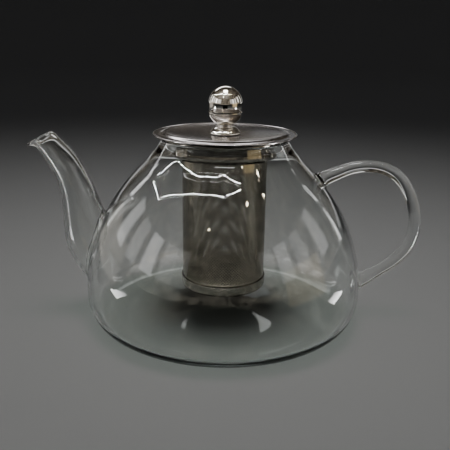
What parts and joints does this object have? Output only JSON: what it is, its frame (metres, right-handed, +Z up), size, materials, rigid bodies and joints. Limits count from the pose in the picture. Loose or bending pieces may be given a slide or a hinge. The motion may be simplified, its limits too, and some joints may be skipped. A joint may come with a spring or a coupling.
{
  "type": "glass teapot with infuser",
  "caption": "Clear glass teapot with a curved spout and a rod handle, a lift-out perforated steel infuser, and a steel lid with a ball knob.",
  "frame": {"origin": "on the pot's axis, on the table under the base", "axes": "+Z up, the spout points along -X and the handle along +X"},
  "size_m": [0.2137, 0.1504, 0.1264],
  "materials": {
    "clear_glass": "clear fire-polished",
    "polished_steel": "mirror polished",
    "perforated_steel": "finely perforated, dull sheen",
    "plain_steel": "plain rolled"
  },
  "bodies": {
    "pot": {"glass_body": "clear_glass", "glass_spout": "clear_glass", "glass_handle": "clear_glass"},
    "infuser": {"infuser_rim": "polished_steel", "infuser_wall": "perforated_steel", "infuser_cup": "polished_steel"},
    "lid": {"lid_plate": "polished_steel", "lid_skirt": "plain_steel", "knob_pedestal": "polished_steel", "knob_cup": "polished_steel", "knob_cap": "polished_steel", "knob_screw": "plain_steel", "screw_washer": "plain_steel", "knob_nut": "plain_steel"}
  },
  "joints": [
    {"name": "infuser_lift", "type": "slide", "parent": "pot", "child": "infuser", "axis": [0, 0, 1], "range_m": [0, 0.1]},
    {"name": "lid_lift", "type": "slide", "parent": "infuser", "child": "lid", "axis": [0, 0, 1], "range_m": [0, 0.05]}
  ]
}
